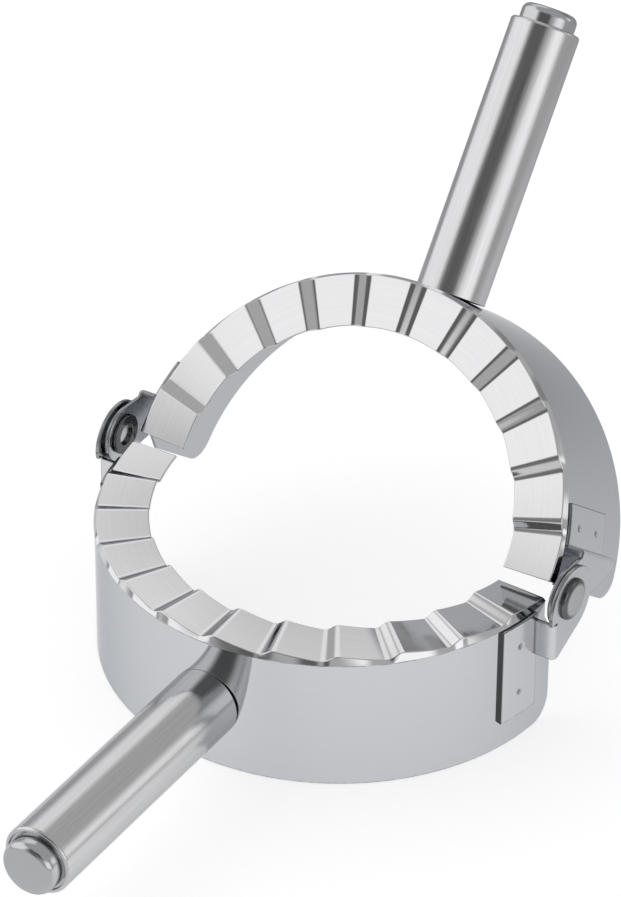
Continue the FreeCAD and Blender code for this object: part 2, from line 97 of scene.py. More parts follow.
def make_piece(node, grids, body, slot):
    """One closed shell from grids of (points in metres, surface coordinates, painted shade), standing for one node."""
    corners, flats, quads, painted_shades, count = [], [], [], [], 0
    for points, flat, painted_shade in grids:
        rows, cols = points.shape[:2]
        index = np.arange(rows * cols).reshape(rows, cols) + count
        quads.append(np.stack([index[:-1, :-1], index[:-1, 1:], index[1:, 1:], index[1:, :-1]], -1).reshape(-1, 4))
        corners.append(points.reshape(-1, 3))
        flats.append(flat.reshape(-1, 2))
        painted_shades.append(np.broadcast_to(painted_shade, (rows, cols)).ravel())
        count += rows * cols
    corners, flats, quads = np.vstack(corners), np.vstack(flats), np.vstack(quads).astype(np.int32)
    mesh = bpy.data.meshes.new(node + "_surface")
    mesh.vertices.add(count)
    mesh.vertices.foreach_set("co", corners.astype(np.float32).ravel())
    mesh.loops.add(quads.size)
    mesh.loops.foreach_set("vertex_index", quads.ravel())
    mesh.polygons.add(len(quads))
    mesh.polygons.foreach_set("loop_start", np.arange(0, quads.size, 4, dtype=np.int32))
    # Painted shade at each point, kept on the mesh for the finish to darken the colour with.
    shade_layer = mesh.attributes.new("painted_shade_mask", "FLOAT", "POINT")
    shade_layer.data.foreach_set("value", np.concatenate(painted_shades).astype(np.float32))
    layer = mesh.uv_layers.new(name="surface")
    layer.uv.foreach_set("vector", flats[quads.ravel()].astype(np.float32).ravel())
    mesh.update(calc_edges=True)
    shell = bmesh.new()
    shell.from_mesh(mesh)
    bmesh.ops.remove_doubles(shell, verts=shell.verts, dist=JOIN_WITHIN)
    bmesh.ops.recalc_face_normals(shell, faces=shell.faces)
    open_edges = sum(not edge.is_manifold for edge in shell.edges)
    shell.to_mesh(mesh)
    shell.free()
    mesh.polygons.foreach_set("use_smooth", np.ones(len(mesh.polygons), bool))
    mesh.set_sharp_from_angle(angle=SHARP_FROM)
    piece = bpy.data.objects.new(node + "_smooth", mesh)
    bpy.context.scene.collection.objects.link(piece)
    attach(piece, body)
    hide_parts(node)
    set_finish(piece, slot)
    print(node, len(mesh.polygons), "faces,", open_edges, "open edges")
    return piece


def unit(v):
    """Vectors of length one, in the same directions."""
    return v / np.maximum(np.linalg.norm(v, axis=-1, keepdims=True), 1e-12)


pieces = {}

# %% [markdown]
# ## Sheet stood on edge
# The walls and the hinge plates are flat sheet, cut out and then rolled or folded about upright lines. So each is
# a line seen from above, with a lower and an upper edge at every point of it. A bandsaw, a guillotine or a press
# leaves edges that are then broken with a file, which the small rounding stands for.

# %% Sheet that follows a line
ROUND_STEPS = 5
# How much painted shade a sheet gets: along its rounded edges, at its first and last ends, and in its dents.
EDGE_SHADE, FIRST_END_SHADE, LAST_END_SHADE, DENT_SHADE = 0.6, 1.0, 0.4, 2.0


def stood_sheet(line, low, high, thick, edge, levels, dents=None):
    """A sheet along a line in plan, from low to high at each point of it.

    The section is a rectangle, thick across, with rounded edges. Its face rows lie at the given levels between
    the edges, and each rounding is two quarter circles. Out is measured to the right of the line's direction.
    The last grid is painted shade: most at the sheet's first end, less on the edges and last end, more in dents.
    """
    run = unit(np.gradient(line, axis=0))
    out_way = np.stack([run[:, 1], -run[:, 0]], -1)
    edge = np.minimum(np.minimum(edge, thick / 2), (high - low) / 2)
    quarter = np.linspace(0, math.pi / 2, ROUND_STEPS)
    turn = np.concatenate([quarter, quarter + math.pi / 2])
    side = np.repeat([1.0, -1.0], ROUND_STEPS)
    n, bend = len(levels), len(turn)
    share = np.concatenate([levels, np.ones(bend), levels[::-1], np.zeros(bend)])[:, None]
    flank = np.concatenate([np.ones(n), side, -np.ones(n), -side])[:, None]
    swing = np.concatenate([np.ones(n), np.cos(turn), -np.ones(n), np.cos(turn + math.pi)])[:, None]
    rise = np.concatenate([1 - 2 * levels, np.sin(turn) - 1, 1 - 2 * levels[::-1], np.sin(turn + math.pi) + 1])
    out = flank * (thick / 2 - edge) + swing * edge
    z = low * (1 - share) + high * share + edge * rise[:, None]
    length = np.concatenate([[0], np.cumsum(np.linalg.norm(np.diff(line, axis=0), axis=1))])
    # Painted shade: dark lines along the edges and ends, and shade that deepens with the weld dimples.
    painted_shade = np.zeros((len(z) + 1, len(length)))
    painted_shade[n : n + bend] = painted_shade[2 * n + bend :] = EDGE_SHADE
    painted_shade[:, [0, 1]], painted_shade[:, [-2, -1]] = FIRST_END_SHADE, LAST_END_SHADE
    if dents is not None:
        depth = dents(length, z[:n])
        out[:n] -= depth
        painted_shade[:n] += DENT_SHADE * depth
    points = np.concatenate([line + out_way * out[..., None], z[..., None]], -1)
    points = np.concatenate([points, points[:1]])
    flat = np.stack(np.broadcast_arrays(length / 100, points[..., 2] / 100), -1)
    return points, flat, painted_shade


def ends_closed(*columns):
    """Each column array with its first and last values repeated, for the two columns that close the sheet."""
    return [np.concatenate([c[:1], c, c[-1:]]) for c in columns]


def sheet_thickness(columns, thick):
    """The sheet's thickness at each column: none at the two that close it."""
    t = np.full(columns, thick)
    t[[0, -1]] = 0
    return t


# %% [markdown]
# ## The walls
# Each wall is a strip of 0.8 mm sheet rolled to a half circle. Its two lower corners are cut round, so that the
# rear half can swing without catching the table. One end laps past the hinge line and is notched under the rim, so
# that the two walls close the ring without touching. Near a corner the lower edge follows a quarter circle.

# %% Wall sizes
RING, WALL, SHEET, WALL_EDGE = 60.0, 35.6, 0.8, 0.25
LONG_END, SHORT_END, CORNER = 1.0, 1.5, 6.0
RIM_GAP, NOTCH_TOP, NOTCH_LOW, NOTCH_STEP = 2.0, 31.0, 26.0, 0.001
middle = RING - SHEET / 2
quarter_run = middle * math.pi / 2
first_u, last_u = SHORT_END - quarter_run, quarter_run + LONG_END
curve = CORNER * np.sin(np.linspace(0, math.pi / 2, 16))
wall_u = np.concatenate([
    first_u + CORNER - curve, np.linspace(first_u + CORNER, last_u - CORNER, 180)[1:-1], last_u - CORNER + curve,
    quarter_run - RIM_GAP + np.array([0, NOTCH_STEP]),
])
wall_u.sort()
past_corner = np.maximum(first_u + CORNER - wall_u, wall_u - last_u + CORNER)
wall_low = CORNER * (1 - np.cos(np.arcsin(np.clip(past_corner / CORNER, 0, 1))))
past_rim = wall_u - quarter_run + RIM_GAP
notch = np.interp(past_rim, [0, RIM_GAP + LONG_END], [NOTCH_TOP, NOTCH_LOW])
wall_high = np.where(past_rim > NOTCH_STEP / 2, notch, WALL)
wall_u, wall_low, wall_high = ends_closed(wall_u, wall_low, wall_high)
wall_line = middle * np.stack([np.sin(wall_u / middle), -np.cos(wall_u / middle)], -1)
wall_levels = np.concatenate([[0, 0.004], np.linspace(0.05, 0.95, 12), [0.996, 1]])

# %% Make both walls
for half, body in HALVES.items():
    points, flat, painted_shade = stood_sheet(
        wall_line, wall_low, wall_high, sheet_thickness(len(wall_u), SHEET), WALL_EDGE, wall_levels
    )
    node = half + "_band"
    pieces[node] = make_piece(node, [(to_half(points, half), flat, painted_shade)], body, "polished_wall")

# %% [markdown]
# ## The hinge plates
# A strip is spot-welded to the wall, which leaves two small dimples. At its end the plate folds straight out and
# then folds again, so that the ear stands clear of the wall and lies across the rivet. The front ears pass outside
# the rear ones. Each ear is a disc with a straight edge that touches it, and the front disc runs on past the fold
# as a lobe, parted from the web by a slit so that the sheet could be bent.


# %% Straight edges that touch the ear's disc
def touch_point(corner, centre, radius, side):
    """Where the straight edge from a corner touches the ear's disc.

    The touching radius is acos(radius / distance) away from the direction of the corner, on the given side.
    """
    y, z = corner[0] - centre[0], corner[1] - centre[1]
    angle = math.atan2(z, y) + side * math.acos(radius / math.hypot(y, z))
    return centre[0] + radius * math.cos(angle), centre[1] + radius * math.sin(angle)


BALL, SUNK = 1.6, 0.35


def dimples(centre_u, heights):
    """How deep the weld dimples are: what a ball presses into the face when it is sunk a little way into it."""

    def depth(u, z):
        total = np.zeros_like(z)
        for height in heights:
            off = np.hypot(u - centre_u, z - height)
            total += np.maximum(np.sqrt(np.maximum(BALL**2 - off**2, 0)) - (BALL - SUNK), 0)
        return total

    return depth


# %% The strip on the wall
PIVOT = hinge[2] / MM
PLATE, PLATE_TOP, PLATE_EDGE = 1.0, 35.3, 0.2
WELD_SHARES = (0.25, 0.75)
STRIP_LEVELS = np.concatenate([[0, 0.008], np.linspace(0.03, 0.97, 90), [0.992, 1]])


def weld_strip(near, far, bottom):
    """The rolled strip between two distances from the hinge line, with its two weld dimples."""
    skin = RING + PLATE / 2
    angle = np.linspace(-math.asin(far / skin), -math.asin(near / skin), 34)
    (angle,) = ends_closed(angle)
    line = skin * np.stack([np.cos(angle), np.sin(angle)], -1)
    full = np.ones(len(angle))
    weld = [bottom + (PLATE_TOP - bottom) * share for share in WELD_SHARES]
    return stood_sheet(
        line, full * bottom, full * PLATE_TOP, sheet_thickness(len(angle), PLATE), PLATE_EDGE, STRIP_LEVELS,
        dimples(skin * (angle[-1] - angle[0]) / 2, weld),
    )


# %% The folded web with its ear
EAR_LEVELS = np.concatenate([[0, 0.01], np.linspace(0.04, 0.96, 24), [0.99, 1]])
BEND, LEVEL_RUN, LOBE_LAP, TUCK = 0.65, 2.0, 1.5, 0.02


def folded_ear(near, web_bottom, web_top, ear_x, centre, radius, lobed):
    """The web, its bend and the ear as one sheet: at each y the ear's edges follow the disc or the touching line."""
    fold_y = -near - PLATE / 2
    out_x = ear_x + PLATE / 2
    root = np.linspace(math.sqrt(RING**2 - fold_y**2), out_x - BEND, 8)
    arc = np.linspace(0, math.pi / 2, 9)[1:]
    start_y = fold_y + BEND
    ear_y = start_y + (centre[0] + radius - start_y) * (1 + np.sin(np.linspace(-1, 1, 90) * math.pi / 2)) / 2
    x = np.concatenate([root, out_x - BEND + BEND * np.sin(arc), np.full(len(ear_y), out_x)])
    y = np.concatenate([np.full(len(root), fold_y), fold_y + BEND - BEND * np.cos(arc), ear_y + 1e-4])
    round_off = np.sqrt(np.maximum(radius**2 - (y - centre[0]) ** 2, 0))
    flat_y = -near - PLATE + LEVEL_RUN
    low_y, low_z = touch_point((flat_y, web_bottom), centre, radius, 1)
    low = np.where(y > low_y, centre[1] - round_off, np.interp(y, [flat_y, low_y], [web_bottom, low_z]))
    if lobed:
        high = np.where(y > start_y, centre[1] + round_off, web_top)
    else:
        high_y, high_z = touch_point((flat_y, web_top), centre, radius, -1)
        high = np.where(y > high_y, centre[1] + round_off, np.interp(y, [flat_y, high_y], [web_top, high_z]))
    thick = np.full(len(x), PLATE)
    thick[0] = 0
    return stood_sheet(np.stack([x, y], -1), low, high, thick, PLATE_EDGE, EAR_LEVELS)


def lobe(near, slit, ear_x, centre, radius):
    """The part of the disc that runs on past the fold, from the slit up, tucked a hair inside the ear."""
    last = math.acos((near - LOBE_LAP + centre[0]) / radius)
    y = centre[0] - radius * np.cos(np.linspace(0, last, 24))
    (y,) = ends_closed(y)
    round_off = np.sqrt(np.maximum(radius**2 - (y - centre[0]) ** 2, 0))
    low = np.minimum(np.maximum(centre[1] - round_off, slit), centre[1])
    line = np.stack([np.full(len(y), ear_x + PLATE / 2), y], -1)
    thick = sheet_thickness(len(y), PLATE - TUCK)
    return stood_sheet(line, low, centre[1] + round_off, thick, PLATE_EDGE, EAR_LEVELS)


DISC = (0.4, PIVOT - 1.45)
PLATES = {
    "front": [
        weld_strip(near=6.6, far=18.4, bottom=7.8),
        folded_ear(near=6.6, web_bottom=23.3, web_top=33.5, ear_x=65.0, centre=DISC, radius=9.4, lobed=True),
        lobe(near=6.6, slit=34.0, ear_x=65.0, centre=DISC, radius=9.4),
    ],
    "rear": [
        weld_strip(near=11.0, far=21.5, bottom=13.0),
        folded_ear(
            near=11.0, web_bottom=14.0, web_top=PLATE_TOP, ear_x=63.4, centre=(0, PIVOT), radius=7.3, lobed=False
        ),
    ],
}

# %% Make the four hinge plates
for half, body in HALVES.items():
    for side in ("right", "left"):
        mirror = np.array([1 if (side == "right") == (half == "front") else -1, 1, 1])
        grids = [(to_half(points * mirror, half), flat, painted_shade) for points, flat, painted_shade in PLATES[half]]
        node = f"{half}_bracket_{side}"
        pieces[node] = make_piece(node, grids, body, "satin_plate")

# %% [markdown]
# ## The crimping rims
# A ring of sheet is pressed into twelve waves in each half, steep on one side and slow on the other, and its outer
# lip is turned down onto the wall. Two such rims mesh when the mold is closed. The section stays the same all
# round, while its upper part rides up and down with the wave. A moving average rounds the crests as a press does.

# %% The wave and the section
WAVES, HEIGHT, STEEP, SOFTEN = 12, 1.7, 0.095, 0.055
COLUMNS_PER_WAVE = 80
rim_start = math.asin(RIM_GAP / (RING + 0.2)) * WAVES / math.pi
place = np.linspace(rim_start, WAVES - rim_start, WAVES * COLUMNS_PER_WAVE)
knots = [0, STEEP, 1 - STEEP, 1]


def wave_share(place):
    """How high the wave is, from 0 to 1: a steep rise about each whole number, then a slow straight fall."""
    return np.interp(place % 1, knots, [0.5, 1, 0, 0.5])


blur = np.linspace(-SOFTEN, SOFTEN, 13)
wave = HEIGHT * wave_share(place[:, None] + blur).mean(1)


def soft_corners(corners, closed, steps=5, guard=0.1):
    """A line through corners (x, y, radius), each turned into an arc that touches both of its sides.

    The centre lies radius / sin(half the corner's angle) along the bisector, and the arc starts and ends
    radius / tan(half) from the corner. A guard point outside each end of the arc keeps the sides straight.
    """
    corners = np.asarray(corners, float)
    xy, radius = corners[:, :2], corners[:, 2:]
    before, after = unit(np.roll(xy, 1, 0) - xy), unit(np.roll(xy, -1, 0) - xy)
    half = np.arccos(np.clip((before * after).sum(1, keepdims=True), -1, 1)) / 2
    reach = radius / np.tan(half)
    centre = xy + unit(before + after) * radius / np.sin(half)
    first, last = xy + before * reach - centre, xy + after * reach - centre
    start = np.arctan2(first[:, 1], first[:, 0])
    turn = (np.arctan2(last[:, 1], last[:, 0]) - start + math.pi) % (2 * math.pi) - math.pi
    angle = start[:, None] + turn[:, None] * np.linspace(0, 1, steps + 1)
    arc = centre[:, None] + radius[:, None] * np.stack([np.cos(angle), np.sin(angle)], -1)
    guards = [(xy + way * (reach + guard))[:, None] for way in (before, after)]
    line = np.concatenate([guards[0], arc, guards[1]], 1)
    if closed:
        line = line.reshape(-1, 2)
        return np.concatenate([line, line[:1]])
    return np.concatenate([xy[:1], line[1:-1].reshape(-1, 2), xy[-1:]])


RIM_EDGE, RIM_LIP, RIM_INNER, RIM_SHEET = 60.2, 59.4, 46.5, 0.6
rim_top = WALL + RIM_SHEET + HEIGHT / 2
section = soft_corners(
    [
        (RIM_EDGE, WALL, 0.05), (RIM_LIP, rim_top, 0.3), (RIM_INNER, rim_top, 0.28),
        (RIM_INNER, rim_top - RIM_SHEET, 0.28), (RIM_LIP - RIM_SHEET, rim_top - RIM_SHEET, 0.05),
        (RIM_EDGE - RIM_SHEET, WALL, 0.05),
    ],
    True, guard=0.06,
)
print("rim section of", len(section), "points, wave from", wave.min().round(2), "to", wave.max().round(2))

# %% Make both rims
rim_r, rim_z = section[:, :1], section[:, 1:]
OUTER_POINTS = 18
outer_side = np.arange(len(section)) < OUTER_POINTS
full_rise = np.where(outer_side, rim_top, rim_top - RIM_SHEET)[:, None] - WALL
ride_up = np.where(rim_r < RIM_LIP - RIM_SHEET, 1, np.clip((rim_z - WALL) / full_rise, 0, 1))
rim_turn = math.pi * (1 + place / WAVES)
rim_points = np.stack(
    np.broadcast_arrays(
        rim_r * np.cos(rim_turn), rim_r * np.sin(rim_turn), rim_z + ride_up * (wave - HEIGHT / 2)
    ),
    -1,
)
middle_of_section = rim_points[:-1].mean(0)
closers = np.repeat(middle_of_section[None, [0, -1]], len(section), 0)
rim_points = np.concatenate([closers[:, :1], rim_points, closers[:, 1:]], 1)
rim_girth = np.concatenate([[0], np.cumsum(np.linalg.norm(np.diff(section, axis=0), axis=1))])[:, None]
rim_flat = np.stack(np.broadcast_arrays(np.pad(rim_turn, 1, "edge") * RING / 100, rim_girth / 100), -1)
# Painted shade on the two ends that close the rim.
rim_shade = np.zeros(rim_points.shape[:2])
rim_shade[:, [0, 1, -2, -1]] = 1
for half, body in HALVES.items():
    node = half + "_crimp_rim"
    pieces[node] = make_piece(node, [(to_half(rim_points, half), rim_flat, rim_shade)], body, "polished_rim")

# %% [markdown]
# ## The handles
# Each handle is a drawn tube of 18 mm, butted against the wall, with a turned button pressed into its outer end.
# Both are lathe shapes: a profile carried round the handle's axis. The button's shoulder stops just inside the
# tube's rounded end, which leaves the narrow dark groove that can be seen between them.

# %% A turned piece
AXIS_Z = 17.8
TUBE_OUT, TUBE_BORE, TUBE_END = 9.0, 8.0, 71.1
BUTTON_OUT, BUTTON_END, SHOULDER, PLUG_OUT, PLUG_END = 7.2, 75.5, 70.6, 7.98, 62.6


def turned(profile, around=144):
    """A profile of (along, out) points carried round its axis; the surface runs (profile length, turn)."""
    turn = np.linspace(0, 2 * math.pi, around + 1)
    along, out = profile[:, :1], profile[:, 1:]
    points = np.stack(np.broadcast_arrays(along, out * np.cos(turn), out * np.sin(turn)), -1)
    length = np.concatenate([[0], np.cumsum(np.linalg.norm(np.diff(profile, axis=0), axis=1))])[:, None]
    return points, np.stack(np.broadcast_arrays(length / 100, turn / (2 * math.pi)), -1)


def on_handle(points):
    """A turned piece set on the handle's axis, which runs straight out from the wall."""
    return np.stack([points[..., 1], -RING - points[..., 0], AXIS_Z + points[..., 2]], -1)


tube = soft_corners(
    [(0, TUBE_BORE, 0.05), (0, TUBE_OUT, 0.15), (TUBE_END, TUBE_OUT, 0.8), (TUBE_END, TUBE_BORE, 0.1)],
    True, guard=0.05,
)
cap = soft_corners(
    [
        (BUTTON_END, 0, 0), (BUTTON_END, BUTTON_OUT, 2.0), (SHOULDER, BUTTON_OUT, 0.1), (SHOULDER, PLUG_OUT, 0.1),
        (PLUG_END, PLUG_OUT, 0.3), (PLUG_END, 0, 0),
    ],
    False,
)

# %% Make both handles
for half, body in HALVES.items():
    for name, profile, slot in (("handle_tube", tube, "brushed_tube"), ("handle_cap", cap, "polished_fitting")):
        points, flat = turned(profile)
        node = f"{half}_{name}"
        pieces[node] = make_piece(node, [(to_half(on_handle(points), half), flat, 0)], body, slot)

# %% [markdown]
# ## The rivets
# A tubular rivet has a low rounded head outside, and its other end is rolled over inside the rear ear. The head's
# profile is a flattened quarter circle, steep at the edge and nearly flat on top. The flank of the head and the
# rolled end get painted shade, a dark ring round the head, while the face gets very little of it. Both rivets
# turn with the front half.

# %% Make both rivets
SEAT, HEAD_EDGE, HEAD_TOP, HEAD_R = 66.0, 66.2, 67.6, 5.3
SHANK_R, ROLL_OUT, ROLL_IN, ROLL_R, BORE_R, BORE_END = 3.6, 63.3, 62.5, 5.2, 2.7, 66.6
# Painted shade on the rivet: a little on the face, near black on the flank and the rolled end.
FACE_R, FLANK_WIDE, FACE_SHADE, RIVET_SHADE = 3.7, 0.7, 0.08, 0.9
arc = np.linspace(0, math.pi / 2, 30)
dome = np.stack([HEAD_EDGE + (HEAD_TOP - HEAD_EDGE) * np.cos(arc) ** 0.7, HEAD_R * np.sin(arc) ** 0.8], -1)
shank = soft_corners(
    [
        (HEAD_EDGE, HEAD_R, 0), (SEAT, HEAD_R, 0.05), (SEAT, SHANK_R, 0.05), (ROLL_OUT, SHANK_R, 0.05),
        (ROLL_OUT, ROLL_R, 0.3), (ROLL_IN, ROLL_R, 0.3), (ROLL_IN, BORE_R, 0.3), (BORE_END, BORE_R, 0.05),
        (BORE_END, 0, 0),
    ],
    False, guard=0.05,
)
rivet = np.concatenate([dome, shank[1:]])
# The painted shade along the rivet's profile: light on the face, rising over the flank, full on the shank.
flank = FACE_SHADE + (RIVET_SHADE - FACE_SHADE) * np.clip((dome[:, 1] - FACE_R) / FLANK_WIDE, 0, 1)
skin = np.concatenate([flank, np.full(len(rivet) - len(dome), RIVET_SHADE)])[:, None]
for side, way in (("right", 1), ("left", -1)):
    points, flat = turned(rivet, 96)
    points = points * (way, 1, 1) + (0, 0, PIVOT)
    node = "hinge_rivet_" + side
    pieces[node] = make_piece(node, [(to_half(points, "front"), flat, skin)], "front_half", "polished_fitting")

# %% [markdown]
# ## Finishes
# All of it is stainless steel, and the finishes differ in how they were rubbed. Buffing leaves a mirror with a
# faint haze, a belt leaves long lines along the tubes, and the pressed plates keep a satin skin. Two effects are
# shared: a haze that wanders over the surface, and lines that run along one way of it.


# %% Shared effects
def new_group(name, inputs, outputs):
    """An empty shader node group with these inputs (name, kind, value) and float outputs."""
    group = bpy.data.node_groups.new(name, "ShaderNodeTree")
    for label, kind, value in inputs:
        socket = group.interface.new_socket(label, in_out="INPUT", socket_type=kind)
        if value is not None:
            socket.default_value = value
    for label in outputs:
        group.interface.new_socket(label, in_out="OUTPUT", socket_type="NodeSocketFloat")
    return group, group.nodes.new("NodeGroupInput"), group.nodes.new("NodeGroupOutput")


def add_node(tree, kind, settings=(), **links):
    """A node with some settings, its named inputs set to a value or joined to another node's output."""
    node = tree.nodes.new(kind)
    for key, value in dict(settings).items():
        setattr(node, key, value)
    for label, source in links.items():
        socket = node.inputs[int(label[1:])] if label[0] == "i" and label[1:].isdigit() else node.inputs[label]
        if isinstance(source, bpy.types.NodeSocket):
            tree.links.new(source, socket)
        else:
            socket.default_value = source
    return node


def ramp(tree, value, span, levels):
    """A smooth step of a value, from the first level below the span to the second level above it."""
    step = add_node(
        tree, "ShaderNodeMapRange", {"interpolation_type": "SMOOTHSTEP"}, Value=value,
        **{"From Min": span[0], "From Max": span[1], "To Min": levels[0], "To Max": levels[1]}
    )
    return step.outputs[0]


haze, haze_in, haze_out = new_group(
    "buffing_haze", [("Vector", "NodeSocketVector", None), ("Scale", "NodeSocketFloat", 40.0)], ["Haze"]
)
cloud = add_node(
    haze, "ShaderNodeTexNoise", Vector=haze_in.outputs["Vector"], Scale=haze_in.outputs["Scale"], Detail=4.0,
    Roughness=0.6,
)
haze.links.new(cloud.outputs["Fac"], haze_out.inputs["Haze"])

lines, lines_in, lines_out = new_group(
    "belt_lines", [("Vector", "NodeSocketVector", None), ("Stretch", "NodeSocketVector", (1, 1, 1))], ["Lines"]
)
stretched = add_node(
    lines, "ShaderNodeVectorMath", {"operation": "MULTIPLY"}, i0=lines_in.outputs["Vector"],
    i1=lines_in.outputs["Stretch"],
)
streak = add_node(
    lines, "ShaderNodeTexNoise", Vector=stretched.outputs["Vector"], Scale=1.0, Detail=5.0, Roughness=0.7
)
lines.links.new(streak.outputs["Fac"], lines_out.inputs["Lines"])

# %% One steel from its numbers
# The near-black colour of the painted shade, and the metal's tint at grazing angles.
SHADE_COLOUR, GRAZING = (0.1, 0.1, 0.105, 1), (0.68, 0.69, 0.71, 1)
LINE_DEPTH = 0.0002


def steel(name, dark, bright, smooth, rough, stretch, haze_scale, bump, brushed=0.0):
    """Steel whose colour follows the belt lines and whose roughness follows lines and haze together.

    Painted shade from the mesh darkens the colour where it is marked, and the tint at grazing angles keeps outlines
    grey.
    """
    material = bpy.data.materials.new(name)
    material.use_nodes = True
    tree = material.node_tree
    tree.nodes.clear()
    where = add_node(tree, "ShaderNodeTexCoord")
    rub = add_node(tree, "ShaderNodeGroup", {"node_tree": lines}, Vector=where.outputs["UV"], Stretch=stretch)
    fog = add_node(tree, "ShaderNodeGroup", {"node_tree": haze}, Vector=where.outputs["Object"], Scale=haze_scale)
    mixed = add_node(
        tree, "ShaderNodeMath", {"operation": "MULTIPLY"}, i0=rub.outputs["Lines"], i1=fog.outputs["Haze"]
    )
    colour = add_node(
        tree, "ShaderNodeMix", {"data_type": "RGBA"}, Factor=rub.outputs["Lines"], i6=(*dark, 1), i7=(*bright, 1)
    )
    # Painted shade: the mesh's mask mixes the colour towards near black.
    painted_shade_node = add_node(tree, "ShaderNodeAttribute", {"attribute_name": "painted_shade_mask"})
    with_shade = add_node(
        tree, "ShaderNodeMix", {"data_type": "RGBA"}, Factor=painted_shade_node.outputs["Fac"], i6=colour.outputs[2],
        i7=SHADE_COLOUR,
    )
    rough_now = add_node(
        tree, "ShaderNodeMapRange", Value=mixed.outputs[0],
        **{"From Min": 0.1, "From Max": 0.45, "To Min": smooth, "To Max": rough}
    )
    relief = add_node(tree, "ShaderNodeBump", Height=rub.outputs["Lines"], Strength=bump, Distance=LINE_DEPTH)
    metal = add_node(
        tree, "ShaderNodeBsdfPrincipled", Metallic=1.0, Anisotropic=brushed, Normal=relief.outputs["Normal"],
        **{"Base Color": with_shade.outputs[2], "Roughness": rough_now.outputs[0], "Specular Tint": GRAZING}
    )
    if brushed:
        grain = add_node(tree, "ShaderNodeTangent", {"direction_type": "UV_MAP", "uv_map": "surface"})
        tree.links.new(grain.outputs[0], metal.inputs["Tangent"])
        metal.inputs["Anisotropic Rotation"].default_value = 0.25
    add_node(tree, "ShaderNodeOutputMaterial", Surface=metal.outputs[0])
    return material


FINISHES = {
    "polished_wall": steel(
        "buffed wall", dark=(0.575, 0.59, 0.61), bright=(0.61, 0.625, 0.645), smooth=0.03, rough=0.07,
        stretch=(1.5, 160, 1), haze_scale=60, bump=0.005,
    ),
    "polished_rim": steel(
        "buffed rim", dark=(0.66, 0.66, 0.67), bright=(0.76, 0.76, 0.77), smooth=0.05, rough=0.12,
        stretch=(2, 120, 1), haze_scale=60, bump=0.01,
    ),
    "brushed_tube": steel(
        "belt-rubbed tube", dark=(0.5, 0.5, 0.51), bright=(0.78, 0.78, 0.79), smooth=0.12, rough=0.22,
        stretch=(3, 140, 1), haze_scale=80, bump=0.08, brushed=0.5,
    ),
    "polished_fitting": steel(
        "turned button", dark=(0.5, 0.505, 0.515), bright=(0.6, 0.605, 0.615), smooth=0.08, rough=0.16,
        stretch=(300, 1, 1), haze_scale=80, bump=0.02,
    ),
    "satin_plate": steel(
        "satin plate", dark=(0.6, 0.61, 0.63), bright=(0.67, 0.68, 0.7), smooth=0.16, rough=0.26,
        stretch=(8, 120, 1), haze_scale=120, bump=0.008,
    ),
    "plain_steel": steel(
        "plain steel", dark=(0.45, 0.45, 0.46), bright=(0.6, 0.6, 0.61), smooth=0.25, rough=0.45,
        stretch=(30, 30, 1), haze_scale=200, bump=0.05,
    ),
}

# %% Put the finishes on
for piece in pieces.values():
    piece.data.materials.append(FINISHES[piece["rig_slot"]])
for name, node in frame["nodes"].items():
    if name not in pieces:
        for holder in node.material_slots:
            holder.material = FINISHES["plain_steel"]
print("finished", len(pieces), "smooth pieces and", len(frame["nodes"]) - len(pieces), "kept nodes")

# %% [markdown]
# ## The table and the studio
# Polished steel looks like what stands round it. The reflections in the picture give that room away: white paper
# that greys further off, a broad soft light on each side, a bright wall behind on the left and the dark corner
# where the camera stands. A room like that can be a few soft windows in the sky, each a patch of turn and height
# with soft edges that adds light or takes it away. Each is given as its middle turn and height, its half width and
# half height, all in degrees, and its light.

# %% A soft window
window, window_in, window_out = new_group(
    "soft_window",
    [
        ("Turn", "NodeSocketFloat", 0.0), ("Height", "NodeSocketFloat", 0.0), ("Middle Turn", "NodeSocketFloat", 0.0),
        ("Middle Height", "NodeSocketFloat", 0.0), ("Wide", "NodeSocketFloat", 0.5), ("Tall", "NodeSocketFloat", 0.3),
        ("Light", "NodeSocketFloat", 0.5), ("Before", "NodeSocketFloat", 0.0),
    ],
    ["Light"],
)
SOFT = math.radians(8)


def inside(offset, half):
    """1 within this half width of the middle, 0 outside it, with a smooth step between."""
    size = add_node(window, "ShaderNodeMath", {"operation": "ABSOLUTE"}, i0=offset)
    past = add_node(window, "ShaderNodeMath", {"operation": "SUBTRACT"}, i0=size.outputs[0], i1=half)
    return ramp(window, past.outputs[0], (-SOFT, SOFT), (1.0, 0.0))


ports = window_in.outputs
turned_off = add_node(window, "ShaderNodeMath", {"operation": "SUBTRACT"}, i0=ports["Turn"], i1=ports["Middle Turn"])
wrapped = add_node(
    window, "ShaderNodeMath", {"operation": "WRAP"}, i0=turned_off.outputs[0], i1=math.pi, i2=-math.pi
)
raised = add_node(
    window, "ShaderNodeMath", {"operation": "SUBTRACT"}, i0=ports["Height"], i1=ports["Middle Height"]
)
patch = add_node(
    window, "ShaderNodeMath", {"operation": "MULTIPLY"}, i0=inside(wrapped.outputs[0], ports["Wide"]),
    i1=inside(raised.outputs[0], ports["Tall"]),
)
sum_up = add_node(
    window, "ShaderNodeMath", {"operation": "MULTIPLY_ADD"}, i0=patch.outputs[0], i1=ports["Light"], i2=ports["Before"]
)
window.links.new(sum_up.outputs[0], window_out.inputs["Light"])

